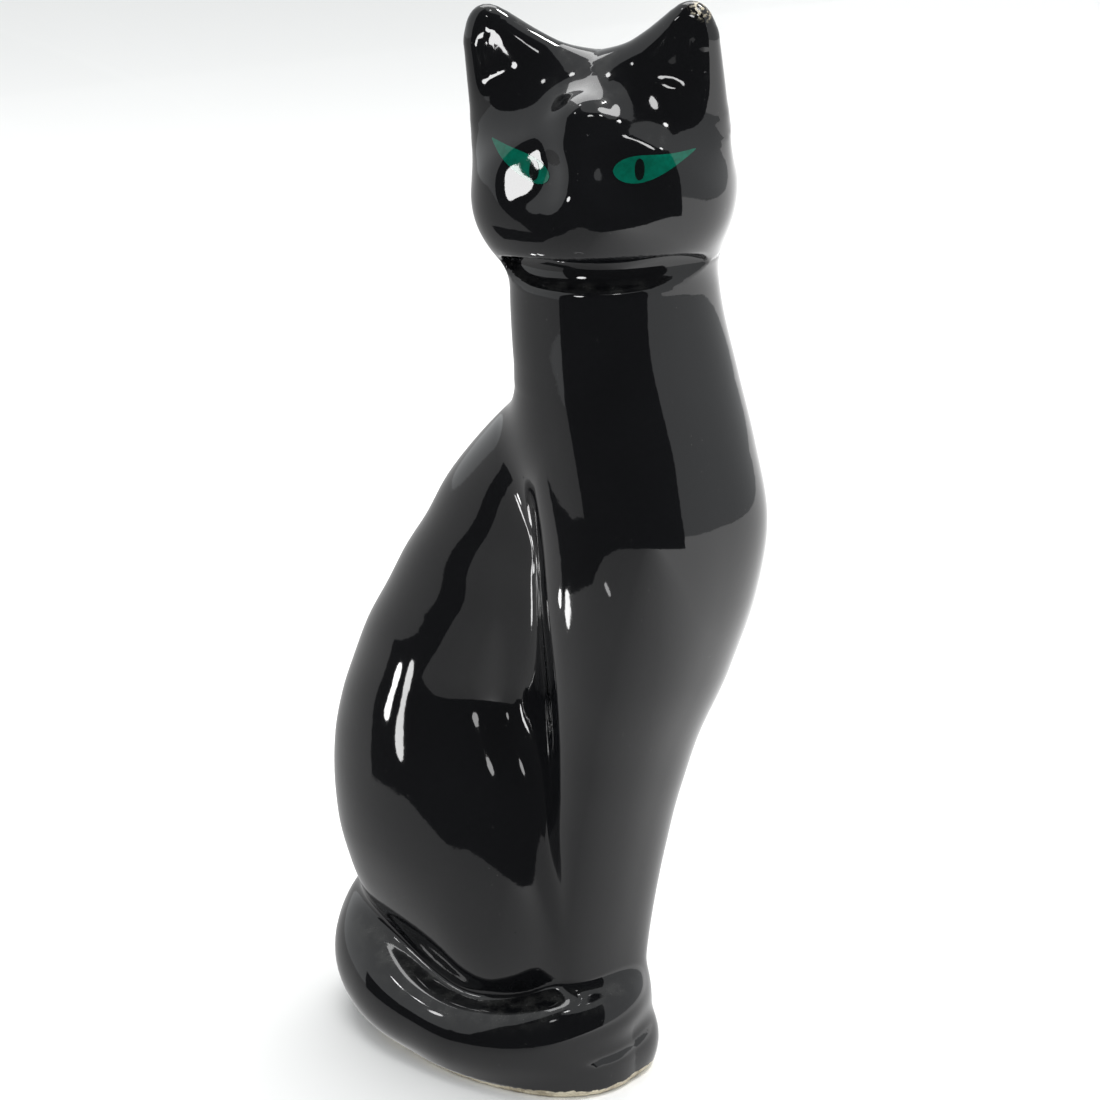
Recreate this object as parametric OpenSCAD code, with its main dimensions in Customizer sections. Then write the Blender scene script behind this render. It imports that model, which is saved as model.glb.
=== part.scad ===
// Seated cat figurine, slip-cast in two hollow halves that are luted together at the neck,
// with a tail laid round the feet, a coat of gloss glaze and painted enamel eyes.
// The cat faces -Y and rests on its bare foot rim at Z = 0.

/* [Figure] */
// Height from the resting surface to the ear tips
cat_h = 305; // [270:5:360]
// Width across the haunches, without the tail
haunch_w = 70; // [62:1:82]
// Angle that the head is turned towards the cat's right
head_turn = 56; // [0:2:70]
// Thickness of the tail where it lies beside the haunch
tail_d = 20; // [17:1:23]

/* [Casting] */
// Wall of the cast clay
wall = 4.5; // [3:0.5:6]
// Thickness of the band of slip that joins head and body
joint_t = 2; // [1:0.5:4]
// Thickness of the closing disc inside the foot
disc_t = 4; // [2.5:0.5:6]
// Height of the closing disc above the resting surface
disc_rise = 1.5; // [1:0.5:4]
// Gap between the closing disc and the cavity wall
disc_gap = 0.4; // [0.2:0.1:1]
// Diameter of the vent hole in the closing disc
vent_d = 8; // [5:1:12]

/* [Glaze and enamel] */
// Thickness of the glaze
glaze_t = 0.6; // [0.4:0.1:1]
// Height of the bare clay rim that is left below the glaze
bare_h = 2; // [1:0.5:4]
// Thickness of the eye enamel
enamel_t = 0.3; // [0.2:0.1:0.6]
// Length of an iris from its inner corner to its outer tip
iris_w = 20.5; // [17:0.5:22]
// Height of an iris at its widest
iris_h = 8; // [6:0.5:9]
// Width of a pupil
pupil_w = 2.6; // [2:0.2:4]
// Height of a pupil
pupil_h = 5.6; // [4:0.2:6]

/* [Hidden] */

clay = [0.87, 0.82, 0.72];
slip = [0.80, 0.74, 0.64];
black_glaze = [0.03, 0.03, 0.035];
iris_green = [0.08, 0.43, 0.33];
pupil_black = [0.02, 0.03, 0.03];

// The form below is drawn for a cat 310.8 mm high and 71 mm wide, then brought to size.
form_h = 310.8;
form_w = 71;
grow = cat_h / form_h;
widen = haunch_w / form_w / grow;
tail_grow = tail_d / (20 * grow);
// The middle of the form's bounding box, which goes over the origin
centre = [-2.8, -9, 0];

// Stations: height, then middle in Y, half width and half depth
front_column = [
    [0, -33, 15.5, 11], [34, -34.5, 15, 10.5], [60, -38, 16, 12], [76, -40.5, 17.2, 13.4],
    [89, -43, 18.3, 15], [104, -46, 20, 17.5], [127, -51.5, 24.3, 23], [151, -55.5, 28, 27.6],
    [171, -56, 29.7, 29.7], [191, -51.3, 29.6, 29.2], [209, -45.5, 28.5, 28.3],
    [226, -41.5, 27, 26.8], [240, -40, 26.3, 26.3], [262, -39, 27, 27]];
trunk = [
    [0, 18, 25, 33], [20, 20, 25, 33], [47, 24.5, 31, 36.5], [60, 25, 34, 39],
    [85, 24.5, 35.5, 39.5], [98, 23.2, 35, 38.5], [110, 20, 34, 36.5], [122, 15.5, 33, 35],
    [134, 9.5, 31, 33], [146, 4, 29, 31], [158, -3.5, 27.5, 29], [170, -10.5, 26, 28],
    [182, -20, 25, 26.5], [193, -31, 24, 25.5], [205, -42, 22, 22]];
// Route of the tail round the foot: bearing, distance out, height and half thickness
tail_hub = [-2, 6];
tail_route = [
    [40, 30, 26, 6], [55, 38, 27, 14], [72, 43, 27, 19], [96, 41, 23, 19], [120, 36, 19, 17.5],
    [151, 30.5, 14.5, 14.5], [184, 29.6, 11.5, 11.3], [211, 34.5, 10.5, 10.3],
    [231, 41, 12, 10.3], [247, 46, 15.5, 10.2], [261, 48.5, 19.5, 9.6], [272, 47.8, 22, 9.2],
    [283, 44.3, 22.5, 8.6], [294, 38, 21.8, 7.2], [302, 33, 21, 3], [306, 31, 21, -2]];
head_at = [-1.2, -39.2, 263];
head_tilt = 3;
neck_z = 232;

// ---- curves through the stations ----

function slope(rows, i, c) =
    let (a = max(i - 1, 0), b = min(i + 1, len(rows) - 1))
    (rows[b][c] - rows[a][c]) / (rows[b][0] - rows[a][0]);

function curve(rows, at, c) =
    let (i = max([for (j = [0 : len(rows) - 2]) if (rows[j][0] <= at) j]),
         h = rows[i + 1][0] - rows[i][0],
         u = (at - rows[i][0]) / h)
    (2 * u * u * u - 3 * u * u + 1) * rows[i][c] + (u * u * u - 2 * u * u + u) * h * slope(rows, i, c)
    + (3 * u * u - 2 * u * u * u) * rows[i + 1][c] + (u * u * u - u * u) * h * slope(rows, i + 1, c);

// A curve as a fine table, which lookup() reads quickly
function track(rows, c, step) =
    let (last = rows[len(rows) - 1])
    concat([for (at = [rows[0][0] : step : last[0] - step / 2]) [at, curve(rows, at, c)]],
           [[last[0], last[c]]]);

column_y = track(front_column, 1, 3);
column_w = track(front_column, 2, 3);
column_d = track(front_column, 3, 3);
trunk_y = track(trunk, 1, 3);
trunk_w = track(trunk, 2, 3);
trunk_d = track(trunk, 3, 3);
column_top = front_column[len(front_column) - 1][0];
trunk_top = trunk[len(trunk) - 1][0];
tail_out = track(tail_route, 1, 3);
tail_z = track(tail_route, 2, 3);
tail_r = track(tail_route, 3, 3);
tail_start = tail_route[0][0];
tail_end = tail_route[len(tail_route) - 1][0];

// ---- solids as signed distances, negative inside ----

function join(a, b, soft) =
    let (h = max(soft - abs(a - b), 0) / soft) min(a, b) - h * h * soft / 4;

function carve(a, b, soft) = -join(-a, b, soft);

function egg(p, c, r) =
    let (q = p - c,
         m = [q.x / r.x, q.y / r.y, q.z / r.z],
         n = [m.x / r.x, m.y / r.y, m.z / r.z],
         a = norm(m))
    a * (a - 1) / max(norm(n), 0.001);

// A tapered limb from a to b, made flat in Y
function limb(p, a, b, ra, rb, flat = 1) =
    let (q = [p.x - a.x, (p.y - a.y) * flat, p.z - a.z],
         d = [b.x - a.x, (b.y - a.y) * flat, b.z - a.z],
         t = min(max((q * d) / (d * d), 0), 1))
    (norm(q - t * d) - ra - (rb - ra) * t) / flat;

// An upright solid through stations, with a flat top at the last of them
function station_loft(p, y, w, d, power, top) =
    let (half_w = lookup(p.z, w), half_d = lookup(p.z, d),
         u = abs(p.x / half_w), v = abs((p.y - lookup(p.z, y)) / half_d),
         f = (pow(pow(u, power) + pow(v, power), 1 / power) - 1) * min(half_w, half_d))
    p.z > top ? norm([max(f, 0), p.z - top]) : f;

function column(p) = station_loft(p, column_y, column_w, column_d, 2.3, column_top);

function torso(p) = station_loft(p, trunk_y, trunk_w, trunk_d, 2.1, trunk_top);

function haunches(m) =
    join(egg(m, [16, 14, 70], [20, 40, 42]), egg(m, [19, -6, 44], [13, 24, 30]), 12);

function feet(m) =
    join(limb(m, [17, 22, 14], [17, -16, 13], 12.5, 10.5),
         limb(m, [5.5, -30, 9], [5, -39, 8.5], 10, 9.5), 4);

// The low oval mound under the feet, turned a little towards the tail
function mound(p) =
    let (turn = 8, top = 15, round_r = 7, size = [32, 54],
         x = (p.x + 4) * cos(turn) - (p.y - 2) * sin(turn),
         y = (p.x + 4) * sin(turn) + (p.y - 2) * cos(turn),
         side = (norm([x / size.x, y / size.y]) - 1) * size.x)
    norm([max(side + round_r, 0), max(p.z - top + round_r, 0)]) - round_r;

function tail(p) =
    let (x = p.x - tail_hub.x, y = p.y - tail_hub.y,
         turn = atan2(y, x), a = turn < 20 ? turn + 360 : turn)
    norm([norm([x, y]) - lookup(a, tail_out), p.z - lookup(a, tail_z)])
    - lookup(a, tail_r) * tail_grow + max(tail_start - a, a - tail_end, 0) / 2;

// The web of clay that fills between the forelegs and the belly
function web(p) = limb(p, [0, -20, 8], [0, -27, 150], 13, 15);

// Rump and haunches, which end well below the neck
function hind(q) =
    let (m = [abs(q.x), q.y, q.z])
    q.z > 130 ? torso(q) : join(torso(q), haunches(m), 10);

function lower(p) =
    let (q = [p.x / widen, p.y, p.z], m = [abs(q.x), q.y, q.z])
    q.z > 60 ? hind(q) : join(hind(q), feet(m), 7);

function untailed(p) =
    p.z > trunk_top + 12 ? column(p)
    : let (whole = join(join(column(p), web(p), 8), lower(p), 9))
    p.z > 40 ? whole : join(whole, mound([p.x / widen, p.y, p.z]), 5);

function ear(m) =
    join(join(limb(m, [18, -7, 18], [27.8, -13, 42.3], 15, 3, 1.5),
              limb(m, [25.5, -8, 18], [28.5, -12, 36], 7.2, 4, 1.3), 6),
         limb(m, [3, -6, 21.5], [25, -11.5, 38.5], 8.5, 4, 1.4), 4);

function ear_hollow(m) = limb(m, [23, -25.5, 25], [28, -20, 42], 10, 1.5, 1.2);

function skull(q, m) =
    let (round_head = join(egg(q, [0, 0, 1], [32, 28.5, 29.5]), egg(m, [14.5, -9, -6], [19.5, 20, 19]), 10),
         muzzle = join(egg(q, [0, -18, -9], [14, 14.5, 11]), egg(q, [0, -15, -19], [17, 16.5, 12]), 10))
    join(round_head, muzzle, 10);

function face(q, m) =
    carve(join(skull(q, m), limb(q, [0, -21, 16], [0, -29.5, -2], 6, 3.5), 8),
          egg(m, [17, -41.5, 5], [12, 11, 8]), 8);

function in_head(p) =
    let (d = p - head_at,
         s = d.x * cos(head_turn) - d.y * sin(head_turn),
         y = d.x * sin(head_turn) + d.y * cos(head_turn))
    [s * cos(head_tilt) + d.z * sin(head_tilt), y, d.z * cos(head_tilt) - s * sin(head_tilt)];

function head(p) =
    let (q = in_head(p), m = [abs(q.x), q.y, q.z])
    m.z < 4 ? face(q, m) : carve(join(face(q, m), ear(m), 9), ear_hollow(m), 2.5);

// The cavity runs up through the trunk into the neck, and leaves the forelegs solid
function cavity_form(p) =
    let (q = [p.x / widen, p.y, p.z])
    p.z < cavity_legs ? hind(q)
    : p.z > trunk_top + 12 ? column(p) : join(join(column(p), web(p), 8), hind(q), 9);

// What each surface is, by name
function form(kind, p) =
    kind == "untailed" ? untailed(p)
    : kind == "tailed" ? (p.z > 60 ? untailed(p) : join(untailed(p), tail([p.x / widen, p.y, p.z]), 4))
    : kind == "head" ? join(column(p), head(p), 4)
    : kind == "head_core" ? let (q = in_head(p)) join(column(p), skull(q, [abs(q.x), q.y, q.z]), 4)
    : cavity_form(p);

// ---- rays that meet the surfaces, from the inside out ----

// The reach of a ray to where the form stands off from its start by a given amount
function walk(kind, start, dir, off, t, n) =
    n == 0 ? t : walk(kind, start, dir, off, t + (off - form(kind, start + t * dir)) * 0.9, n - 1);

function sharpen(kind, start, dir, off, t0, f0, t1, n) =
    let (f1 = form(kind, start + t1 * dir) - off)
    n == 0 || abs(f1) < 0.004 || abs(f1 - f0) < 0.0001 ? t1
    : sharpen(kind, start, dir, off, t1, f1,
              t1 - max(min(f1 * (t1 - t0) / (f1 - f0), 6), -6), n - 1);

function reach(kind, ray, off) =
    let (t0 = walk(kind, ray[0], ray[1], off, 2, 12), f0 = form(kind, ray[0] + t0 * ray[1]) - off)
    abs(f0) < 0.004 ? t0
    : max(sharpen(kind, ray[0], ray[1], off, t0, f0, t0 - f0 * 0.9, 4), 0.5);

function meet(kind, ray, off = 0) = ray[0] + reach(kind, ray, off / grow) * ray[1];

// From the form to the finished size and place
function placed(p) = (p - centre) * grow;
function placed_rings(rings) = [for (ring = rings) [for (p = ring) placed(p)]];

function heading(a, rise) = [cos(a) * cos(rise), sin(a) * cos(rise), sin(rise)];

sides = 56;
function bearing(i) = 360 * i / sides;

// Where haunch meets tail or foot: bearing, distance out and rise as seen from the foot's middle
foot_mid = [-3, 2];
crease = [
    [0, 31, 36], [30, 36, 34], [45, 42, 33], [60, 54, 35], [75, 59, 36], [90, 58, 34],
    [105, 54, 35], [120, 46, 37], [135, 38, 40], [150, 32, 42], [180, 27, 40], [210, 30, 36],
    [240, 36, 34], [255, 45, 32], [270, 48, 32], [285, 47, 31], [300, 40, 32], [330, 35, 35],
    [360, 31, 36]];
crease_out = [for (row = crease) [row[0], row[1]]];
crease_rise = [for (row = crease) [row[0], row[2]]];
// The rays start on a line that leans forward into the chest: height, then Y
spine = [[52, 2], [61, -12], [70, -18], [80, -20], [100, -20], [110, -20], [124, -26], [140, -34],
         [165, -44], [190, -50], [205, -46], [232, -40]];
tail_rings = 6;
level_ring = 12;
level_z = 61;
level_step = 9;
body_rings = 31;

function body_ray(j, a) =
    let (rise = lookup(a, crease_rise), out = lookup(a, crease_out),
         part = (j - tail_rings) / (level_ring - tail_rings),
         up = rise * (1 - part),
         z = out * tan(rise) * (1 - part) + level_z * part,
         level = level_z + level_step * (j - level_ring))
    j == 0 ? [[foot_mid.x, foot_mid.y, 0], heading(a, 0)]
    : j == 1 ? [[foot_mid.x, foot_mid.y, bare_h / grow], heading(a, 0)]
    : j <= tail_rings ? [[foot_mid.x, foot_mid.y, 0], heading(a, rise * (j - 0.6) / (tail_rings - 0.6))]
    : j < level_ring ? [[foot_mid.x * (1 - part), foot_mid.y * (1 - part) + lookup(level_z, spine) * part, z - out * tan(up)],
                        heading(a, up)]
    : [[0, lookup(level, spine), level], heading(a, 0)];

function level_ray(z, a) = [[0, lookup(z, spine), z], heading(a, 0)];

// The head's rays rise from the neck to the crown, closer together across the ears
head_sides = 52;
head_rings = 25;
head_rise = [[0, 0], [3, -9], [6, 2], [10, 26], [21, 67], [25, 86]];
head_start = [[0, neck_z], [3, 248], [6, 259], [10, 262], [25, 262]];
function head_bearing(i) =
    let (a = 360 * i / head_sides) a + 17 * sin(2 * a) - 90 - head_turn;
function head_ray(j, i) =
    let (z = lookup(j, head_start))
    [[head_at.x, head_at.y, z], heading(head_bearing(i), lookup(j, head_rise))];
function neck_ray(z, i) = [[head_at.x, head_at.y, z], heading(head_bearing(i), 0)];

// ---- rings of points joined into closed solids ----

function flat(rings) = [for (ring = rings) for (p = ring) p];

function wall_faces(rings, n, from, flip) =
    [for (j = [0 : rings - 2], i = [0 : n - 1])
        let (a = from + j * n + i, b = from + j * n + (i + 1) % n, c = b + n, d = a + n)
        each flip ? [[a, c, b], [a, d, c]] : [[a, b, c], [a, c, d]]];

function rim_faces(outer, inner, n, flip) =
    [for (i = [0 : n - 1])
        let (a = outer + i, b = outer + (i + 1) % n, c = inner + (i + 1) % n, d = inner + i)
        each flip ? [[a, c, b], [a, d, c]] : [[a, b, c], [a, c, d]]];

function crown_faces(ring, tip, n, flip) =
    [for (i = [0 : n - 1]) flip ? [ring + (i + 1) % n, ring + i, tip] : [ring + i, ring + (i + 1) % n, tip]];

// A tube open at both ends: rings run upwards and anticlockwise
module tube(outer, inner) {
    n = len(outer[0]);
    skin = len(outer) * n;
    polyhedron(concat(flat(outer), flat(inner)), concat(
        wall_faces(len(outer), n, 0, true),
        wall_faces(len(inner), n, skin, false),
        rim_faces(0, skin, n, false),
        rim_faces(skin - n, skin + (len(inner) - 1) * n, n, true)), convexity = 10);
}

// A dome open below: its last point is the crown
module dome(outer, inner, outer_tip, inner_tip) {
    n = len(outer[0]);
    skin = len(outer) * n;
    core = len(inner) * n;
    polyhedron(concat(flat(outer), flat(inner), [outer_tip, inner_tip]), concat(
        wall_faces(len(outer), n, 0, true),
        wall_faces(len(inner), n, skin, false),
        rim_faces(0, skin, n, false),
        crown_faces(skin - n, skin + core, n, true),
        crown_faces(skin + core - n, skin + core + 1, n, false)), convexity = 10);
}

// A plate with a front and a back of matching rows
module plate(front, back) {
    n = len(front[0]);
    rows = len(front);
    skin = rows * n;
    last = (rows - 1) * n;
    grid = [for (j = [0 : rows - 2], i = [0 : n - 2]) let (a = j * n + i) [a, a + 1, a + n + 1, a + n]];
    edge = concat([for (i = [0 : n - 2]) [i, i + 1]],
                  [for (j = [0 : rows - 2]) [j * n + n - 1, (j + 1) * n + n - 1]],
                  [for (i = [n - 1 : -1 : 1]) [last + i, last + i - 1]],
                  [for (j = [rows - 1 : -1 : 1]) [j * n, (j - 1) * n]]);
    polyhedron(concat(flat(front), flat(back)), concat(
        [for (g = grid) each [[g[0], g[2], g[1]], [g[0], g[3], g[2]]]],
        [for (g = grid) each [[g[0] + skin, g[1] + skin, g[2] + skin], [g[0] + skin, g[2] + skin, g[3] + skin]]],
        [for (e = edge) each [[e[0], e[1], e[1] + skin], [e[0], e[1] + skin, e[0] + skin]]]),
        convexity = 6);
}

// ---- surfaces ----

// The tail takes the sides between its root and its tip, and beds this deep in the clay
tail_bed = 0.5;
tail_first = ceil(44 / 360 * sides);
tail_last = floor(304 / 360 * sides);
function has_tail(i, j) = i >= tail_first && i <= tail_last && j <= tail_rings;

function skin_point(i, j) = meet("tailed", body_ray(j, bearing(i)));

// The clay under the tail is cut back to the bed
function bed_point(i, j) =
    let (ray = body_ray(j, bearing(i)),
         out = reach("tailed", ray, 0), under = reach("untailed", ray, 0))
    ray[0] + min(under, out - tail_bed / grow) * ray[1];

function body_skin(from, off = 0) =
    [for (j = [from : body_rings - 1]) [for (i = [0 : sides - 1])
        meet("tailed", body_ray(j, bearing(i)), off)]];

function neck_ring(z, off = 0) = [for (i = [0 : sides - 1]) meet("head", level_ray(z, bearing(i)), off)];

// The cavity's own levels, and the line that they are drawn round: height, then Y
cavity_legs = 112;
cavity_spine = [[0, 18], [60, 22], [95, 18], [115, -4], [135, -20], [155, -36], [175, -47],
                [190, -50], [205, -46], [232, -40]];
cavity_levels = [0, 20, 40, 56, 70, 84, 91, 98, 105, 112, 119, 126, 140, 158, 176, 194, 212];
function cavity(z, off) =
    [for (i = [0 : sides - 1])
        meet("cavity", [[0, lookup(z, cavity_spine), z], heading(bearing(i), 0)], off)];

joint_low = neck_z - joint_t / 2 / grow;
joint_high = neck_z + joint_t / 2 / grow;

module body_casting() {
    color(clay) tube(
        placed_rings(concat(
            [for (j = [0 : body_rings - 1]) [for (i = [0 : sides - 1])
                has_tail(i, j) ? bed_point(i, j) : skin_point(i, j)]],
            [neck_ring(joint_low)])),
        placed_rings([for (z = concat(cavity_levels, [joint_low])) cavity(z, -wall)]));
}

module tail_casting() {
    span = [for (i = [tail_first : tail_last]) i];
    color(clay) plate(
        placed_rings([for (j = [0 : tail_rings]) [for (i = span) skin_point(i, j)]]),
        placed_rings([for (j = [0 : tail_rings]) [for (i = span) bed_point(i, j)]]));
}

module neck_slip_joint() {
    color(slip) tube(
        placed_rings([for (z = [joint_low, joint_high])
            [for (i = [0 : head_sides - 1]) meet("head", neck_ray(z, i))]]),
        placed_rings([for (z = [joint_low, joint_high])
            [for (i = [0 : head_sides - 1]) meet("head", neck_ray(z, i), -wall)]]));
}

function head_skin(kind, low, off, step) =
    concat([[for (i = [0 : head_sides - 1]) meet(kind, neck_ray(low, i), off)]],
           [for (j = [1 : step : head_rings]) [for (i = [0 : head_sides - 1]) meet(kind, head_ray(j, i), off)]]);

function crown(kind, off) = meet(kind, [[head_at.x, head_at.y, 262], [0, 0, 1]], off);

module head_casting() {
    color(clay) dome(
        placed_rings(head_skin("head", joint_high, 0, 1)),
        placed_rings(head_skin("head_core", joint_high, -wall, 3)),
        placed(crown("head", 0)), placed(crown("head_core", -wall)));
}

module body_glaze() {
    color(black_glaze) tube(
        placed_rings(concat(body_skin(1, glaze_t), [neck_ring(neck_z, glaze_t)])),
        placed_rings(concat(body_skin(1), [neck_ring(neck_z)])));
}

module head_glaze() {
    color(black_glaze) dome(
        placed_rings(head_skin("head", neck_z, glaze_t, 1)),
        placed_rings(head_skin("head", neck_z, 0, 1)),
        placed(crown("head", glaze_t)), placed(crown("head", 0)));
}

// The disc closes the cavity at the foot, with a vent hole through it
module base_disc() {
    rim = [for (p = cavity(0, -wall - disc_gap)) [placed(p).x, placed(p).y]];
    mid = placed([0, cavity_spine[0][1], 0]);
    color(clay) difference() {
        translate([0, 0, disc_rise]) linear_extrude(disc_t) polygon(rim);
        translate([mid.x, mid.y, disc_rise - 1]) cylinder(d = vent_d, h = disc_t + 2, $fn = 48);
    }
}

// ---- eyes, laid on the glaze along the head's own forward direction ----

eye_inner = [8, 3.5];
eye_rise = 7;

function out_of_head(q) =
    let (s = q.x * cos(head_tilt) - q.z * sin(head_tilt),
         z = q.x * sin(head_tilt) + q.z * cos(head_tilt))
    head_at + [s * cos(head_turn) + q.y * sin(head_turn), q.y * cos(head_turn) - s * sin(head_turn), z];

function on_face(side, u, v, off) =
    let (start = out_of_head([side * u, 0, v]), far = out_of_head([side * u, -1, v]))
    placed(meet("head", [start, far - start], off));

// An almond whose outer end sweeps up to a fine tip
function iris_mid(t) = eye_inner[1] + eye_rise * t * t;
function iris_half(t) = 0.25 + (iris_h / grow / 2 - 0.25) * pow(sin(180 * pow(t, 0.72)), 0.8) * (1 - 0.35 * t);

iris_steps = 14;
iris_rows = 5;
function iris_grid(side, off) =
    [for (r = [0 : iris_rows - 1]) [for (k = [0 : iris_steps])
        let (t = k / iris_steps, v = 2 * r / (iris_rows - 1) - 1)
        on_face(side, eye_inner[0] + iris_w / grow * t, iris_mid(t) + v * iris_half(t), off)]];

pupil_at = 0.33;
pupil_steps = 8;
function pupil_grid(side, off) =
    [for (k = [0 : pupil_steps])
        let (v = 2 * k / pupil_steps - 1, half = (0.15 + (pupil_w / 2 - 0.15) * sqrt(1 - v * v)) / grow)
        [for (w = [-1 : 1])
            on_face(side, eye_inner[0] + iris_w / grow * pupil_at + w * half,
                    iris_mid(pupil_at) + v * pupil_h / grow / 2, off)]];

module eye_patch(front, back, side) {
    if (side > 0) plate(back, front);
    else plate(front, back);
}

module iris(side) {
    color(iris_green) eye_patch(iris_grid(side, glaze_t + enamel_t), iris_grid(side, glaze_t), side);
}

module pupil(side) {
    low = glaze_t + enamel_t;
    color(pupil_black) eye_patch(pupil_grid(side, low), pupil_grid(side, low + enamel_t), side);
}

body_casting();
head_casting();
tail_casting();
neck_slip_joint();
base_disc();
body_glaze();
head_glaze();
iris(-1);  // right_iris
iris(1);  // left_iris
pupil(-1);  // right_pupil
pupil(1);  // left_pupil
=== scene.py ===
import math

import bpy
import numpy as np
import openvdb
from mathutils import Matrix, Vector


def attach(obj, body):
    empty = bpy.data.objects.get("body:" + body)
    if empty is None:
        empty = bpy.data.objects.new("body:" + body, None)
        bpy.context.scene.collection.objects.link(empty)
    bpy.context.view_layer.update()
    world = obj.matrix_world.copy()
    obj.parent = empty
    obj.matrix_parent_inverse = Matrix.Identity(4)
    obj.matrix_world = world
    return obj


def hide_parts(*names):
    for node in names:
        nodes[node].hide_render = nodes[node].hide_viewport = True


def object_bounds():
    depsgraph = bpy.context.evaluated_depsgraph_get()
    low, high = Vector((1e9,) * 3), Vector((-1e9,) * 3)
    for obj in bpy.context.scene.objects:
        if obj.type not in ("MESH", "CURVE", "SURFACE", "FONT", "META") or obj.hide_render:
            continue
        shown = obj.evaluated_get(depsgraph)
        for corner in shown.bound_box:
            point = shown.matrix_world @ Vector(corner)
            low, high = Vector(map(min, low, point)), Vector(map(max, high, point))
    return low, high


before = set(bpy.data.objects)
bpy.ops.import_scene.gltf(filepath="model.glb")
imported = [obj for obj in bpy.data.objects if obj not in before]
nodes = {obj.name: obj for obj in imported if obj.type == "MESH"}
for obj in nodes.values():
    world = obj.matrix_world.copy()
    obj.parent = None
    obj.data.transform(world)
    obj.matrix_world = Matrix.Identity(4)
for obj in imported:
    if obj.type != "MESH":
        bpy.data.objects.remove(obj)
cadLow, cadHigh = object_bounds()
print("frame loaded:", len(nodes), "nodes, height", round(cadHigh.z, 4), "m")

# The shapes below are drawn in millimetres for a cat this high, standing a little off the
# origin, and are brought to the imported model's size and place at the end
drawn = {"height": 310.8, "middle": (-2.8, -9.0), "headAt": (-1.2, -39.2, 263.0), "neck": 232.0}
toMetres = (cadHigh.z - cadLow.z) / drawn["height"]
middle = (cadLow + cadHigh) / 2
shift = np.array([middle.x, middle.y, cadLow.z]) - toMetres * np.array([*drawn["middle"], 0.0])


def softMin(a, b, soft):
    h = np.maximum(soft - np.abs(a - b), 0) / soft
    return np.minimum(a, b) - h * h * soft / 4


def softMax(a, b, soft):
    return -softMin(-a, -b, soft)


def through(stations, at, column):
    # a smooth curve through given stations
    xs, ys = stations[:, 0], stations[:, column]
    below = np.maximum(np.arange(len(xs)) - 1, 0)
    above = np.minimum(np.arange(len(xs)) + 1, len(xs) - 1)
    slopes = (ys[above] - ys[below]) / (xs[above] - xs[below])
    at = np.clip(at, xs[0], xs[-1])
    i = np.clip(np.searchsorted(xs, at) - 1, 0, len(xs) - 2)
    h = xs[i + 1] - xs[i]
    u = (at - xs[i]) / h
    start = (2 * u**3 - 3 * u**2 + 1) * ys[i] + (u**3 - 2 * u**2 + u) * h * slopes[i]
    end = (3 * u**2 - 2 * u**3) * ys[i + 1] + (u**3 - u**2) * h * slopes[i + 1]
    return start + end


def egg(p, centre, radii):
    q = (p - np.array(centre, float)) / np.array(radii, float)
    far = np.linalg.norm(q, axis=1)
    return far * (far - 1) / np.maximum(np.linalg.norm(q / np.array(radii, float), axis=1), 1e-9)


def limb(p, a, b, ra, rb, flat=1.0):
    squeeze = np.array([1.0, flat, 1.0])
    start = np.array(a, float) * squeeze
    along = np.array(b, float) * squeeze - start
    q = p * squeeze - start
    t = np.clip(q @ along / (along @ along), 0, 1)
    return (np.linalg.norm(q - t[:, None] * along, axis=1) - ra - (rb - ra) * t) / flat


def loft(p, stations, power):
    z = p[:, 2]
    y, w, d = (through(stations, z, c) for c in (1, 2, 3))
    f = ((np.abs(p[:, 0] / w) ** power + np.abs((p[:, 1] - y) / d) ** power) ** (1 / power) - 1)
    f *= np.minimum(w, d)
    beyond = np.maximum(stations[0, 0] - z, z - stations[-1, 0])
    return np.where(beyond > 0, np.hypot(np.maximum(f, 0), beyond), f)


def mirrored(p):
    m = p.copy()
    m[:, 0] = np.abs(m[:, 0])
    return m


# height, then middle in Y, half width and half depth
column = {
    "power": 2.3,
    "stations": np.array([
        [0, -33, 15.5, 11], [34, -34.5, 15, 10.5], [60, -38, 16, 12], [76, -40.5, 17.2, 13.4],
        [89, -43, 18.3, 15], [104, -46, 20, 17.5], [127, -51.5, 24.3, 23], [151, -55.5, 28, 27.6],
        [171, -56, 29.7, 29.7], [191, -51.3, 29.6, 29.2], [209, -45.5, 28.5, 28.3],
        [226, -41.5, 27, 26.8], [240, -40, 26.3, 26.3], [262, -39, 27, 27]], float),
}
trunk = {
    "power": 2.1, "haunch": ((16, 14, 70), (20, 40, 42)), "knee": ((19, -6, 44), (13, 24, 30)),
    "stations": np.array([
        [0, 18, 25, 33], [20, 20, 25, 33], [47, 24.5, 31, 36.5], [60, 25, 34, 39],
        [85, 24.5, 35.5, 39.5], [98, 23.2, 35, 38.5], [110, 20, 34, 36.5], [122, 15.5, 33, 35],
        [134, 9.5, 31, 33], [146, 4, 29, 31], [158, -3.5, 27.5, 29], [170, -10.5, 26, 28],
        [182, -20, 25, 26.5], [193, -31, 24, 25.5], [205, -42, 22, 22]], float),
}


def trunkShape(p):
    m = mirrored(p)
    haunch = softMin(egg(m, *trunk["haunch"]), egg(m, *trunk["knee"]), 12)
    return softMin(loft(p, trunk["stations"], trunk["power"]), haunch, 10)


# two ends and the radius at each; the web fills between the forelegs and the belly
legs = {
    "hindFoot": ((17, 22, 14), (17, -16, 13), 12.5, 10.5),
    "paw": ((5.5, -30, 9), (5, -39, 8.5), 10, 9.5),
    "web": ((0, -20, 8), (0, -27, 150), 13, 15),
}


def feetShape(p):
    m = mirrored(p)
    return softMin(limb(m, *legs["hindFoot"]), limb(m, *legs["paw"]), 4)


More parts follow.
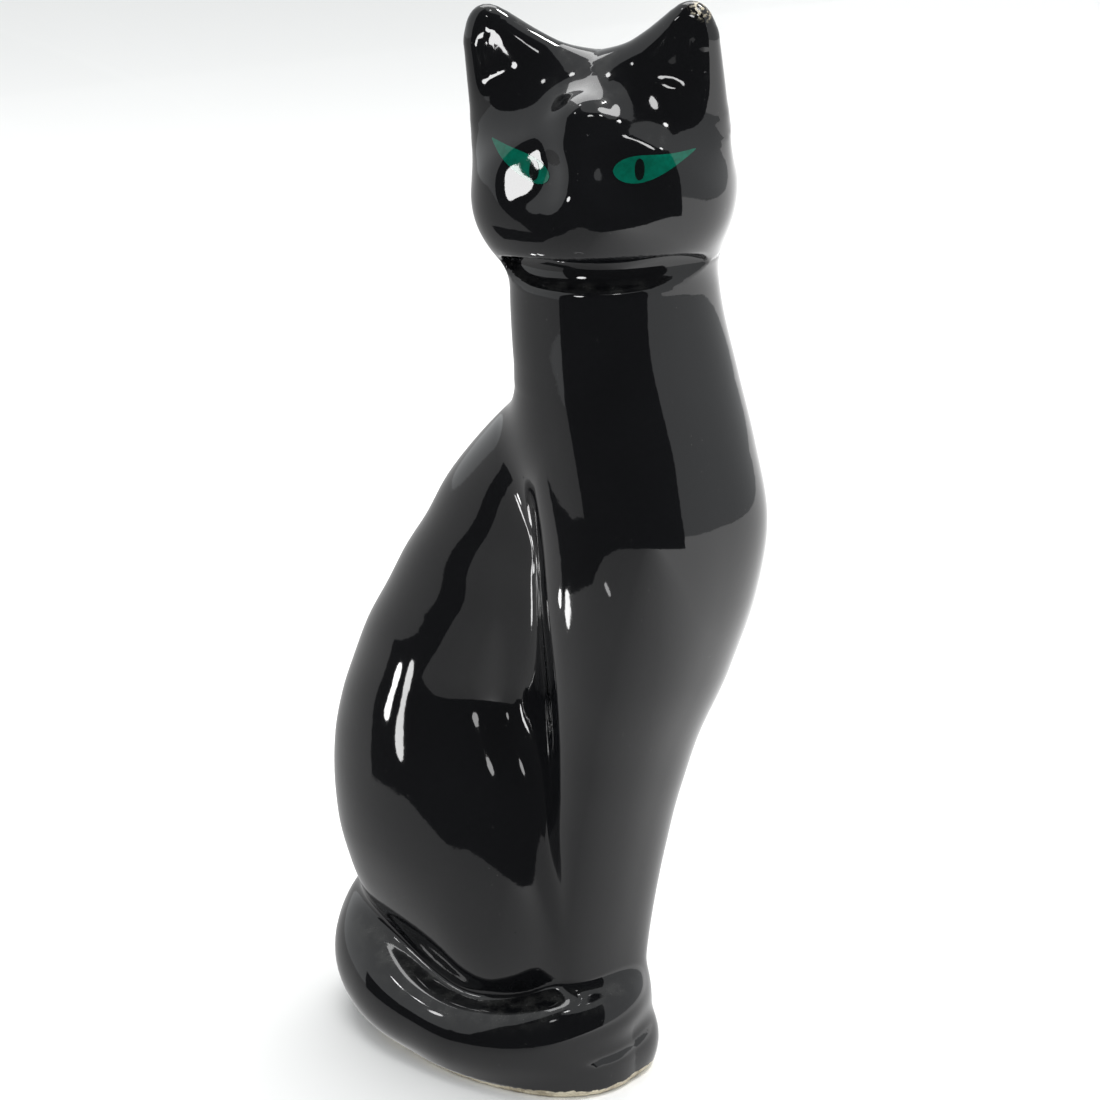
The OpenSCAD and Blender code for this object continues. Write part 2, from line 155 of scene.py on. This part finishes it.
mound = {"at": (-4.0, 2.0), "turn": 8.0, "reach": (32.0, 54.0), "top": 15.0, "round": 7.0}


def moundShape(p):
    c, s = math.cos(math.radians(mound["turn"])), math.sin(math.radians(mound["turn"]))
    x, y = p[:, 0] - mound["at"][0], p[:, 1] - mound["at"][1]
    side = np.hypot((x * c - y * s) / mound["reach"][0], (x * s + y * c) / mound["reach"][1])
    side = (side - 1) * mound["reach"][0] + mound["round"]
    rise = p[:, 2] - mound["top"] + mound["round"]
    return np.hypot(np.maximum(side, 0), np.maximum(rise, 0)) - mound["round"]


# bearing round the hub, distance out, height and half thickness
tail = {
    "hub": (-2.0, 6.0),
    "route": np.array([
        [40, 30, 26, 6], [55, 38, 27, 14], [72, 43, 27, 19], [96, 41, 23, 19],
        [120, 36, 19, 17.5], [151, 30.5, 14.5, 14.5], [184, 29.6, 11.5, 11.3],
        [211, 34.5, 10.5, 10.3], [231, 41, 12, 10.3], [247, 46, 15.5, 10.2],
        [261, 48.5, 19.5, 9.6], [272, 47.8, 22, 9.2], [283, 44.3, 22.5, 8.6],
        [294, 38, 21.8, 7.2], [302, 33, 21, 3], [306, 31, 21, -2]], float),
}


def tailShape(p):
    x, y = p[:, 0] - tail["hub"][0], p[:, 1] - tail["hub"][1]
    a = np.degrees(np.arctan2(y, x))
    a = np.where(a < 20, a + 360, a)
    route = tail["route"]
    out, z, r = (through(route, a, c) for c in (1, 2, 3))
    past = np.maximum(np.maximum(a - route[-1, 0], route[0, 0] - a), 0)
    return np.hypot(np.hypot(x, y) - out, p[:, 2] - z) - r + past / 2


# in the head's own frame: x towards the cat's left, y towards the back of the head
head = {
    "turn": 56.0, "tilt": 3.0,
    "skull": ((0, 0, 1), (32, 28.5, 29.5)), "cheek": ((14.5, -9, -6), (19.5, 20, 19)),
    "muzzle": ((0, -16, -10), (18, 18, 12)), "bridge": ((0, -21, 16), (0, -29.5, -2), 6, 3.5),
    "socket": ((15.5, -41, 5), (13, 15.5, 11)), "swell": ((16.5, -13.5, 2), (13.5, 13.2, 12)),
    "jawLow": -20.5, "jawBack": -22, "jawFall": 0.25, "earsFrom": 262,
}
ear = {
    "cup": ((18, -7, 18), (27.8, -13, 42.3), 15, 3, 1.5),
    "outer": ((25.5, -8, 18), (28.5, -12, 36), 7.2, 4, 1.3),
    "inner": ((3, -6, 21.5), (25, -11.5, 38.5), 8.5, 4, 1.4),
    "middle": -12, "rim": 0.9, "dishBack": 11.5, "dishLean": 0.15, "dishFrom": 22,
    "creaseHigh": 29, "creaseFall": 0.5, "creaseFrom": 12,
}
throat = {"side": 1, "around": 28, "low": 22.5, "deep": 5.4, "fadeFrom": 8, "fadeOver": 14}
turnCos, turnSin = math.cos(math.radians(head["turn"])), math.sin(math.radians(head["turn"]))
tiltCos, tiltSin = math.cos(math.radians(head["tilt"])), math.sin(math.radians(head["tilt"]))


def intoHead(p):
    q = p - np.array(drawn["headAt"])
    s = q[:, 0] * turnCos - q[:, 1] * turnSin
    y = q[:, 0] * turnSin + q[:, 1] * turnCos
    return np.stack([s * tiltCos + q[:, 2] * tiltSin, y, q[:, 2] * tiltCos - s * tiltSin], 1)


def outOfHead(q):
    s = q[:, 0] * tiltCos - q[:, 2] * tiltSin
    z = q[:, 0] * tiltSin + q[:, 2] * tiltCos
    p = np.stack([s * turnCos + q[:, 1] * turnSin, q[:, 1] * turnCos - s * turnSin, z], 1)
    return p + np.array(drawn["headAt"])


def earShape(m):
    f = softMin(limb(m, *ear["cup"]), limb(m, *ear["outer"]), 6)
    return softMin(f, limb(m, *ear["inner"]), 4)


def headShape(p):
    q = intoHead(p)
    m = mirrored(q)
    f = egg(q, *head["skull"])
    f = softMin(f, egg(m, *head["cheek"]), 10)
    f = softMin(f, egg(q, *head["muzzle"]), 8)
    f = softMin(f, limb(q, *head["bridge"]), 7)
    f = softMax(f, -egg(m, *head["socket"]), 5)
    f = softMin(f, egg(m, *head["swell"]), 4)
    under = head["jawLow"] - head["jawFall"] * np.maximum(q[:, 1] - head["jawBack"], 0)
    f = softMax(f, under - q[:, 2], 5)  # the jaw ends in an edge at the front
    if p[:, 2].max() > head["earsFrom"]:
        f = softMin(f, earShape(m), 8)
        level = m.copy()
        level[:, 1] = ear["middle"]
        rim = earShape(level) + ear["rim"]
        crease = ear["creaseHigh"] - ear["creaseFall"] * (m[:, 0] - ear["creaseFrom"]) - m[:, 2]
        dish = m[:, 1] + ear["dishBack"] + ear["dishLean"] * (m[:, 2] - ear["dishFrom"])
        dish = softMax(softMax(dish, crease, 4), rim, 9)
        f = softMax(f, -dish, 2.2)
    return f


def throatShape(q):
    # a hollow that runs round under the jaw and fades out at both sides
    fade = np.clip((-q[:, 1] - throat["fadeFrom"]) / throat["fadeOver"], 0, 1)
    around = np.hypot(q[:, 0] - throat["side"], q[:, 1]) - throat["around"]
    return np.hypot(around, q[:, 2] + throat["low"]) - throat["deep"] * fade * (2 - fade)


# only the parts that are near a height are worked out there
zones = {"headFrom": 205, "trunkTo": 225, "feetTo": 45, "tailTo": 70}


def catShape(p):
    z = p[:, 2]
    front = loft(p, column["stations"], column["power"])
    if z.max() > zones["headFrom"]:
        front = softMin(front, headShape(p), 8)
        front = softMax(front, -throatShape(intoHead(p)), 2)
    if z.min() > zones["trunkTo"]:
        return front
    hind = trunkShape(p)
    if z.min() < zones["feetTo"]:
        hind = softMin(hind, feetShape(p), 7)
    f = softMin(softMin(front, limb(p, *legs["web"]), 8), hind, 9)
    if z.min() < zones["tailTo"]:
        f = softMin(f, moundShape(p), 5)
        f = softMin(f, tailShape(p), 4)
    return f


def slopeOf(shape, p):
    e = 0.15
    steps = np.eye(3) * e
    return np.stack([shape(p + s) - shape(p - s) for s in steps], 1) / (2 * e)


def ontoShape(shape, p, turns=3):
    for _ in range(turns):
        g = slopeOf(shape, p)
        p = p - g * (shape(p) / np.maximum((g * g).sum(1), 1e-6))[:, None]
    return p


def byHeight(shape, p, slab=12.0):
    # a shape's values over points in any order, worked out in slabs of height
    values = np.empty(len(p))
    slabs = np.floor(p[:, 2] / slab).astype(int)
    for s in np.unique(slabs):
        here = slabs == s
        values[here] = shape(p[here])
    return values


def meshFrom(name, points, faces, normals=None):
    mesh = bpy.data.meshes.new(name)
    mesh.from_pydata((points * toMetres + shift).tolist(), [], [list(map(int, f)) for f in faces])
    mesh.polygons.foreach_set("use_smooth", [True] * len(mesh.polygons))
    if normals is not None:
        mesh.normals_split_custom_set_from_vertices(normals.tolist())
    mesh.update()
    piece = bpy.data.objects.new(name, mesh)
    bpy.context.scene.collection.objects.link(piece)
    return piece


def skin(name, shape, low, high, cell):
    # the shape is sampled on a grid, OpenVDB lays quads over it, and each corner then slides
    # along the shape's own slope until it lies on the surface
    low, high = np.array(low, float), np.array(high, float)
    counts = np.ceil((high - low) / cell).astype(int) + 1
    x, y, z = (low[k] + cell * np.arange(counts[k]) for k in range(3))
    values = np.empty(counts, np.float32)
    flatX, flatY = (a.ravel() for a in np.meshgrid(x, y, indexing="ij"))
    for k in range(0, counts[2], 8):
        zs = z[k:k + 8]
        p = np.stack([np.repeat(flatX, len(zs)), np.repeat(flatY, len(zs)), np.tile(zs, len(flatX))], 1)
        values[:, :, k:k + 8] = shape(p).reshape(counts[0], counts[1], len(zs))
    grid = openvdb.FloatGrid(float(cell * 3))
    grid.copyFromArray(values)
    points, quads = grid.convertToQuads()
    points = low + points * cell
    points = ontoShape(lambda q: byHeight(shape, q), points)
    normals = slopeOf(lambda q: byHeight(shape, q), points)
    normals /= np.linalg.norm(normals, axis=1)[:, None]
    piece = meshFrom(name, points, quads, normals)
    print(name, "has", len(quads), "quads")
    return piece


glaze = {"thick": 0.6, "hem": 1.3, "hemRound": 1.0, "cell": 1.25, "waves": 0.09}


def waves(p):
    # the slight unevenness of a poured and sponged cast
    a = np.sin(p[:, 0] / 6.1 + p[:, 2] / 9.7) * np.sin(p[:, 1] / 7.3 - p[:, 2] / 11.9)
    b = np.sin(p[:, 2] / 8.3 + p[:, 1] / 13.1) * np.sin(p[:, 0] / 9.1 + 1.7)
    return glaze["waves"] * (a + b)


def glazeShape(p):
    return catShape(p) - glaze["thick"] + waves(p)


def glazeSolid(p):
    return softMax(glazeShape(p), glaze["hem"] - p[:, 2], glaze["hemRound"])


clay = {"wall": 4.5, "footRound": 1.0, "joint": 1.0, "cell": 1.6, "headCell": 2.4}


def claySolid(p):
    outside = softMax(catShape(p), -p[:, 2], clay["footRound"])
    outside = softMax(outside, p[:, 2] - drawn["neck"] + clay["joint"], clay["footRound"])
    inside = trunkShape(p) + clay["wall"]
    return softMax(outside, -inside, 0.8)


def clayHeadSolid(p):
    # a little under the glaze all over
    return softMax(catShape(p) + 0.4, drawn["neck"] + clay["joint"] - p[:, 2], clay["footRound"])


low, high = (-46, -89, -3), (42, 72, 316)
blackGlaze = skin("blackGlaze", glazeSolid, low, high, glaze["cell"])
clayBody = skin("clayBody", claySolid, low, (42, 72, drawn["neck"] + 3), clay["cell"])
clayHead = skin("clayHead", clayHeadSolid, (-46, -89, drawn["neck"] - 4), high, clay["headCell"])


eye = {
    "columns": 48, "rows": 14, "pupilColumns": 9, "pupilRows": 17, "pupilWide": 2.6, "pupilHigh": 5.6,
    "fullHeight": 8, "paint": 0.12, "root": 0.5, "tipHalf": 0.12, "pupilTipHalf": 0.08,
    "inward": 0.72, "fullness": 0.8, "taper": 0.35, "sightFrom": -52.0, "sightSteps": 60,
    "sightStride": 0.6,
}
# painted by hand, so the two differ: inner corner, length, height and rise to the outer tip
eyeSides = {
    "right": {"side": -1, "inner": (8.0, 3.6), "length": 17.8, "height": 7.4, "rise": 8.6, "bend": 1.3,
              "pupilAt": 0.25},
    "left": {"side": 1, "inner": (8.9, 4.9), "length": 20.0, "height": 7.8, "rise": 4.2, "bend": 2.6,
             "pupilAt": 0.35},
}


def faceHit(s, h, lift):
    # from well in front of the face, straight back until the glaze is met
    ahead = np.full(len(s), eye["sightFrom"])
    for _ in range(eye["sightSteps"]):
        p = outOfHead(np.stack([s, ahead, h], 1))
        ahead = ahead + eye["sightStride"] * (glazeShape(p) - lift)
    return outOfHead(np.stack([s, ahead, h], 1))


def patch(name, s, h, lift, root):
    # a thin closed plate over a grid of places on the face
    rows, columns = s.shape
    front = faceHit(s.ravel(), h.ravel(), lift)
    back = faceHit(s.ravel(), h.ravel(), -root)
    ids = np.arange(rows * columns).reshape(rows, columns)
    size = rows * columns
    quads = [(ids[r, c], ids[r, c + 1], ids[r + 1, c + 1], ids[r + 1, c])
             for r in range(rows - 1) for c in range(columns - 1)]
    rim = [*ids[0], *ids[1:, -1], *ids[-1, -2::-1], *ids[-2:0:-1, 0]]
    faces = quads + [tuple(size + i for i in reversed(q)) for q in quads]
    faces += [(b, a, a + size, b + size) for a, b in zip(rim, rim[1:] + rim[:1])]
    points = np.concatenate([front, back])
    normals = slopeOf(glazeShape, points)
    normals /= np.linalg.norm(normals, axis=1)[:, None]
    first = points[quads[len(quads) // 2][0]]
    across = points[quads[len(quads) // 2][1]] - first
    along = points[quads[len(quads) // 2][3]] - first
    if np.dot(np.cross(across, along), normals[quads[len(quads) // 2][0]]) < 0:
        faces = [tuple(reversed(f)) for f in faces]
    return meshFrom(name, points, faces, normals)


def irisMid(look, t):
    return look["inner"][1] + look["rise"] * t ** look["bend"]


def irisHalf(look, t):
    belly = np.sin(np.pi * np.clip(t, 0, 1) ** eye["inward"]) ** eye["fullness"]
    return eye["tipHalf"] + (look["height"] / 2 - eye["tipHalf"]) * belly * (1 - eye["taper"] * t)


def irisPiece(look, name):
    t, v = np.meshgrid(np.linspace(0, 1, eye["columns"]), np.linspace(-1, 1, eye["rows"]))
    s = look["side"] * (look["inner"][0] + look["length"] * t)
    return patch(name, s, irisMid(look, t) + v * irisHalf(look, t), eye["paint"], eye["root"])


def pupilPiece(look, name):
    u, v = np.meshgrid(np.linspace(-1, 1, eye["pupilColumns"]), np.linspace(-1, 1, eye["pupilRows"]))
    tip = eye["pupilTipHalf"]
    half = tip + (eye["pupilWide"] / 2 - tip) * np.sqrt(1 - v * v)
    s = look["side"] * (look["inner"][0] + look["length"] * look["pupilAt"] + u * half)
    high = eye["pupilHigh"] * look["height"] / eye["fullHeight"]
    h = irisMid(look, look["pupilAt"]) + v * high / 2
    return patch(name, s, h, eye["paint"] * 2, eye["root"] / 2)


eyes = {}
for sideName, look in eyeSides.items():
    eyes[sideName + "Iris"] = irisPiece(look, sideName + "Iris")
    eyes[sideName + "Pupil"] = pupilPiece(look, sideName + "Pupil")
print("eyes painted on")


class Socket:
    # one output of a node, with arithmetic that adds Math nodes
    def __init__(self, tree, out):
        self.tree = tree
        self.out = out

    def math(self, operation, first, second):
        node = self.tree.nodes.new("ShaderNodeMath")
        node.operation = operation
        feed(self.tree, node.inputs[0], first)
        feed(self.tree, node.inputs[1], second)
        return Socket(self.tree, node.outputs[0])

    def __add__(self, other):
        return self.math("ADD", self, other)

    def __sub__(self, other):
        return self.math("SUBTRACT", self, other)

    def __mul__(self, other):
        return self.math("MULTIPLY", self, other)

    def __radd__(self, other):
        return self.math("ADD", other, self)

    def __rsub__(self, other):
        return self.math("SUBTRACT", other, self)

    def __rmul__(self, other):
        return self.math("MULTIPLY", other, self)


def feed(tree, socket, value):
    if isinstance(value, Socket):
        tree.links.new(value.out, socket)
    else:
        socket.default_value = value


class Finish:
    # a material with one method that adds any node
    def __init__(self, name):
        self.material = bpy.data.materials.new(name)
        self.material.use_nodes = True
        self.tree = self.material.node_tree
        self.tree.nodes.clear()
        self.end = self.tree.nodes.new("ShaderNodeOutputMaterial")

    def add(self, kind, settings=None, inputs=None, out=0):
        node = self.tree.nodes.new(kind)
        for key, value in (settings or {}).items():
            if key == "stops":
                ramp = node.color_ramp
                while len(ramp.elements) < len(value):
                    ramp.elements.new(0.5)
                for element, (at, shade) in zip(ramp.elements, value):
                    element.position = at
                    element.color = shade if isinstance(shade, tuple) else (shade, shade, shade, 1)
            else:
                setattr(node, key, value)
        for key, value in (inputs or {}).items():
            feed(self.tree, node.inputs[key], value)
        return Socket(self.tree, node.outputs[out])

    def place(self):
        return self.add("ShaderNodeTexCoord", out="Object")

    def noise(self, at, scale, detail=2.0, roughness=0.5):
        return self.add("ShaderNodeTexNoise", inputs={
            "Vector": at, "Scale": scale, "Detail": detail, "Roughness": roughness})

    def spots(self, at, scale):
        return self.add("ShaderNodeTexVoronoi", inputs={"Vector": at, "Scale": scale}, out="Distance")

    def step(self, value, low, high, start=0.0, end=1.0):
        # a smooth change from start to end while value goes from low to high
        return self.add("ShaderNodeMapRange", {"interpolation_type": "SMOOTHSTEP"}, {
            "Value": value, "From Min": low, "From Max": high, "To Min": start, "To Max": end})

    def blend(self, factor, a, b):
        return self.add("ShaderNodeMix", {"data_type": "RGBA"}, {0: factor, 6: a, 7: b}, 2)

    def reach(self, at, point):
        # distance from a place on the object
        return self.add("ShaderNodeVectorMath", {"operation": "DISTANCE"}, {0: at, 1: point}, "Value")

    def bump(self, height, distance, strength=1.0):
        return self.add("ShaderNodeBump", inputs={
            "Height": height, "Distance": distance, "Strength": strength})

    def shader(self, **inputs):
        names = {key.replace("_", " "): value for key, value in inputs.items()}
        return self.add("ShaderNodeBsdfPrincipled", inputs=names)

    def finish(self, shader):
        self.tree.links.new(shader.out, self.end.inputs["Surface"])
        return self.material


def cleanSlots(piece, material):
    piece.data.materials.clear()
    piece.data.materials.append(material)


def upward(finish):
    normal = finish.add("ShaderNodeNewGeometry", out="Normal")
    return finish.add("ShaderNodeSeparateXYZ", inputs={0: normal}, out="Z")


def heightOf(finish, at):
    return finish.add("ShaderNodeSeparateXYZ", inputs={0: at}, out="Z")


def drawnPoint(x, y, z):
    return tuple(np.array([x, y, z]) * toMetres + shift)


def headPoint(s, y, h):
    return tuple(outOfHead(np.array([[s, y, h]], float))[0] * toMetres + shift)


clayLook = {
    "pale": (0.66, 0.60, 0.46, 1), "stained": (0.30, 0.25, 0.17, 1), "grain": 900.0, "pores": 2600.0,
}
glazeLook = {
    "black": (0.0035, 0.0036, 0.0042, 1), "bloom": (0.006, 0.0063, 0.0072, 1),
    "dust": (0.23, 0.23, 0.215, 1), "rough": 0.05, "roughDust": 0.42,
    "clumps": 210.0, "specks": 1150.0, "motes": 420.0, "drift": 25.0, "peel": 330.0, "pits": 95.0,
}


def clayColour(f, at):
    broad = f.noise(at, clayLook["grain"] / 9, 4, 0.6)
    fine = f.noise(at, clayLook["grain"], 3, 0.6)
    stain = f.step(broad * 0.7 + fine * 0.3, 0.42, 0.66)
    return f.blend(stain, clayLook["pale"], clayLook["stained"]), fine


def bareClay():
    f = Finish("bareClay")
    at = f.place()
    colour, fine = clayColour(f, at)
    pores = f.step(f.spots(at, clayLook["pores"]), 0.08, 0.3)
    relief = fine * 0.6 + pores * 0.4
    return f.finish(f.shader(Base_Color=colour, Roughness=0.86, Normal=f.bump(relief, 0.0002, 0.6)))


def wornGlaze():
    f = Finish("wornBlackGlaze")
    at = f.place()
    up = upward(f)
    # settled dust lies where the glaze faces up, in clumps and single specks
    clumps = f.noise(at, glazeLook["clumps"], 5, 0.62)
    specks = f.step(f.spots(at, glazeLook["specks"]), 0.2, 0.07)
    film = f.step(up, 0.45, 0.95) * f.step(clumps, 0.40, 0.68)
    dust = film * (0.18 + specks * 0.5) * 0.55
    # fine motes everywhere
    motes = f.step(f.spots(at, glazeLook["motes"]), 0.055, 0.03)
    motes = motes * f.step(f.noise(at, 60.0), 0.45, 0.6)
    colour = f.blend(f.noise(at, glazeLook["drift"], 3, 0.5), glazeLook["black"], glazeLook["bloom"])
    colour = f.blend(dust + motes * 0.35, colour, glazeLook["dust"])
    rough = f.step(dust, 0.0, 0.35, glazeLook["rough"], glazeLook["roughDust"])
    # orange peel, and pinholes left by bubbles
    peel = f.noise(at, glazeLook["peel"], 2, 0.5)
    pits = f.step(f.spots(at, glazeLook["pits"]), 0.012, 0.035)
    relief = f.bump(peel * 0.12 + pits * 0.9, 0.00025, 0.5)
    gloss = f.shader(Base_Color=colour, Roughness=rough, Normal=relief, IOR=1.5)
    # chipped hem, where the clay shows
    claySide, fine = clayColour(f, at)
    bare = f.shader(Base_Color=claySide, Roughness=0.85, Normal=f.bump(fine, 0.0002, 0.5))
    high = heightOf(f, at)
    ragged = f.noise(at, 300.0, 4, 0.7) * 0.0022 + f.noise(at, 55.0, 2, 0.5) * 0.0030
    frontChips = f.step(f.reach(at, drawnPoint(-8, -52, 0)), 0.042, 0.012)
    line = ragged - 0.0012 + frontChips * 0.0012
    hem = f.step(high - line, 0.00015, -0.00015)
    # a worn tip on the left ear
    tip = f.reach(at, headPoint(30.5, -14, 44))
    worn = f.step(tip + f.noise(at, 420.0, 3, 0.6) * 0.004, 0.0054, 0.0040)
    worn = worn * f.step(f.noise(at, 900.0, 3, 0.6), 0.50, 0.58)
    chip = f.add("ShaderNodeMath", {"operation": "MAXIMUM"}, {0: hem, 1: worn * 0.8})
    mix = f.add("ShaderNodeMixShader", inputs={0: chip, 1: gloss, 2: bare})
    return f.finish(mix)


def enamel(name, main, edge, roughness):
    f = Finish(name)
    at = f.place()
    brush = f.noise(at, 520.0, 3, 0.6)
    colour = f.blend(f.step(brush, 0.3, 0.7), main, edge)
    return f.finish(f.shader(Base_Color=colour, Roughness=roughness, IOR=1.5,
                             Normal=f.bump(brush, 0.00006, 0.3)))


glazeMaterial = wornGlaze()
clayMaterial = bareClay()
greenEnamel = enamel("greenEnamel", (0.0, 0.105, 0.066, 1), (0.0, 0.075, 0.046, 1), 0.05)
blackEnamel = enamel("blackEnamel", (0.0022, 0.004, 0.004, 1), (0.003, 0.006, 0.005, 1), 0.05)
cleanSlots(blackGlaze, glazeMaterial)
cleanSlots(clayBody, clayMaterial)
cleanSlots(clayHead, clayMaterial)
for name in ("base_disc", "neck_slip_joint"):
    cleanSlots(nodes[name], clayMaterial)
for name, piece in eyes.items():
    cleanSlots(piece, greenEnamel if "Iris" in name else blackEnamel)
print("materials ready")


standIns = {
    blackGlaze: (["body_glaze", "head_glaze"], "black_glaze"),
    clayBody: (["body_casting", "tail_casting"], "clay"),
    clayHead: (["head_casting"], "clay"),
    eyes["rightIris"]: (["right_iris"], "green_enamel"),
    eyes["leftIris"]: (["left_iris"], "green_enamel"),
    eyes["rightPupil"]: (["right_pupil"], "black_enamel"),
    eyes["leftPupil"]: (["left_pupil"], "black_enamel"),
}
for piece, (replaced, slot) in standIns.items():
    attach(piece, "root")
    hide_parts(*replaced)


studio = {
    "lookAt": (0.0092, 0.0035, 0.145), "turn": -40.0, "rise": 17.0, "away": 0.9365, "lens": 109.4,
    "floor": 8.0, "sky": (0.93, 0.95, 0.96, 1), "skyStrength": 0.95, "glossStrength": 0.95,
    "sheenHigh": 0.0003,
}


def aimedAt(thing, target):
    direction = Vector(target) - thing.location
    thing.rotation_euler = direction.to_track_quat("-Z", "Y").to_euler()


def fromTarget(turn, rise, away):
    # turn is measured as the camera's is, from straight in front
    a, e = math.radians(turn), math.radians(rise)
    aim = Vector(studio["lookAt"])
    return aim + away * Vector((math.sin(a) * math.cos(e), -math.cos(a) * math.cos(e), math.sin(e)))


camera = bpy.data.objects.new("camera", bpy.data.cameras.new("camera"))
bpy.context.scene.collection.objects.link(camera)
camera.location = fromTarget(studio["turn"], studio["rise"], studio["away"])
camera.data.lens = studio["lens"]
camera.data.sensor_width = 36
camera.data.clip_start = 0.01
aimedAt(camera, studio["lookAt"])
bpy.context.scene.camera = camera


def flatPiece(name, corners, material):
    mesh = bpy.data.meshes.new(name)
    mesh.from_pydata(corners, [], [tuple(range(len(corners)))])
    mesh.materials.append(material)
    piece = bpy.data.objects.new(name, mesh)
    bpy.context.scene.collection.objects.link(piece)
    return piece


def paintOf(name, colour, roughness):
    f = Finish(name)
    return f.finish(f.shader(Base_Color=colour, Roughness=roughness))


half = studio["floor"] / 2
square = [(-half, -half, 0), (half, -half, 0), (half, half, 0), (-half, half, 0)]
flatPiece("floor", square, paintOf("paleFloor", (0.86, 0.86, 0.85, 1), 0.7))


def onlyInGloss(piece):
    piece.visible_camera = False
    piece.visible_diffuse = False
    piece.visible_shadow = False
    piece.visible_transmission = False


def curtain(name, posts, material):
    # a cloth standing on the floor through posts, each a turn, a distance from the cat and a height
    feet = [fromTarget(turn, 0, away) for turn, away, top in posts]
    points = [(p.x, p.y, 0) for p in feet] + [(p.x, p.y, post[2]) for p, post in zip(feet, posts)]
    n = len(posts)
    mesh = bpy.data.meshes.new(name)
    mesh.from_pydata(points, [], [(i, i + 1, n + i + 1, n + i) for i in range(n - 1)])
    mesh.materials.append(material)
    piece = bpy.data.objects.new(name, mesh)
    bpy.context.scene.collection.objects.link(piece)
    onlyInGloss(piece)


def glowOf(name, level):
    f = Finish(name)
    return f.finish(f.add("ShaderNodeEmission", inputs={"Color": (level, level, level, 1)}))


# the dark side of the room, in front of the cat, which only the gloss sees: turn, distance, height
curtain("darkSide", [(-139, 0.30, 0.09), (-120, 0.30, 0.09), (-106, 0.31, 0.11), (-101, 0.36, 1.4),
                     (-90, 0.50, 1.4), (-75, 0.62, 1.4), (-60, 0.70, 1.4), (-45, 0.76, 1.4),
                     (-30, 0.80, 1.4), (-14, 0.84, 1.4), (2, 0.88, 1.4)], glowOf("darkSide", 0.05))


def glint(name, place, away, wide, high, level):
    # a small lit card, set so that the camera sees it in the glaze at one place
    start = ontoShape(glazeShape, np.array([place], float))
    normal = Vector(slopeOf(glazeShape, start)[0]).normalized()
    start = Vector(drawnPoint(*start[0]))
    sight = (camera.location - start).normalized()
    turns = [math.radians(15 * k) for k in range(24)]
    corners = [(math.cos(t) * wide / 2, math.sin(t) * high / 2, 0) for t in turns]
    card = flatPiece(name, corners, glowOf(name, level))
    card.location = start + away * (2 * normal.dot(sight) * normal - sight)
    aimedAt(card, start)
    onlyInGloss(card)


def onFace(s, h):
    return tuple(faceHit(np.array([s], float), np.array([h], float), 0)[0])


# place, distance, width, height and level
glints = {
    "eyeGlint": (onFace(-15.5, 0.0), 0.07, 0.022, 0.018, 20.0),
    "browGlint": (onFace(6, 20), 0.07, 0.018, 0.022, 12.0),
    "leftBrowGlint": (onFace(18, 21), 0.07, 0.018, 0.009, 14.0),
    "roundGlint": (onFace(21.5, 15.5), 0.07, 0.007, 0.005, 24.0),
    "crownGlint": (onFace(-4.5, 28), 0.07, 0.006, 0.007, 18.0),
    "rightBrowGlint": (onFace(-12, 26.5), 0.07, 0.006, 0.005, 16.0),
    "haunchGlint": ((-34, 14, 113), 0.07, 0.008, 0.008, 24.0),
    "flankGlint": ((-35, 11, 96), 0.07, 0.010, 0.020, 14.0),
    "kneeGlint": ((-24, -16, 92), 0.08, 0.012, 0.012, 7.0),
    "tailGlint": ((-20, -33, 26), 0.08, 0.030, 0.008, 14.0),
}
for name, values in glints.items():
    glint(name, *values)


def floorGlow():
    # the floor as the gloss sees it: brighter towards the cat's left and behind
    f = Finish("floorGlow")
    at = f.place()
    across = f.add("ShaderNodeSeparateXYZ", inputs={0: at}, out="X")
    shade = f.add("ShaderNodeValToRGB", {"stops": [
        (0.20, 0.55), (0.40, 0.62), (0.50, 0.84), (0.62, 1.15), (0.78, 1.9)]}, {
        0: f.step(across, -0.5, 0.5)})
    return f.finish(f.add("ShaderNodeEmission", inputs={"Color": shade}))


sheen = flatPiece("sheen", square, floorGlow())
sheen.rotation_euler = (0, 0, math.radians(studio["turn"]))
sheen.location = (0, 0, studio["sheenHigh"])
onlyInGloss(sheen)

lamps = {
    "sideBox": {"turn": 62, "rise": 66, "away": 1.2, "size": (0.20, 0.20), "power": 8},
    "backBox": {"turn": 150, "rise": 68, "away": 1.5, "size": (1.2, 0.8), "power": 16},
}
for name, lamp in lamps.items():
    light = bpy.data.lights.new(name, "AREA")
    light.shape = "RECTANGLE"
    light.size, light.size_y = lamp["size"]
    light.energy = lamp["power"]
    box = bpy.data.objects.new(name, light)
    bpy.context.scene.collection.objects.link(box)
    box.location = fromTarget(lamp["turn"], lamp["rise"], lamp["away"])
    box.visible_camera = False
    aimedAt(box, studio["lookAt"])

# the pale room: bright where it is looked at, dimmer in the gloss
world = bpy.data.worlds.new("paleRoom")
bpy.context.scene.world = world
world.use_nodes = True
tree = world.node_tree
background = tree.nodes["Background"]
background.inputs["Color"].default_value = studio["sky"]
background.inputs["Strength"].default_value = studio["skyStrength"]
gloss = tree.nodes.new("ShaderNodeBackground")
gloss.inputs["Color"].default_value = studio["sky"]
gloss.inputs["Strength"].default_value = studio["glossStrength"]
path = tree.nodes.new("ShaderNodeLightPath")
mix = tree.nodes.new("ShaderNodeMixShader")
tree.links.new(path.outputs["Is Glossy Ray"], mix.inputs[0])
tree.links.new(background.outputs[0], mix.inputs[1])
tree.links.new(gloss.outputs[0], mix.inputs[2])
tree.links.new(mix.outputs[0], tree.nodes["World Output"].inputs["Surface"])
bpy.context.scene.view_settings.view_transform = "Standard"
print("studio ready")
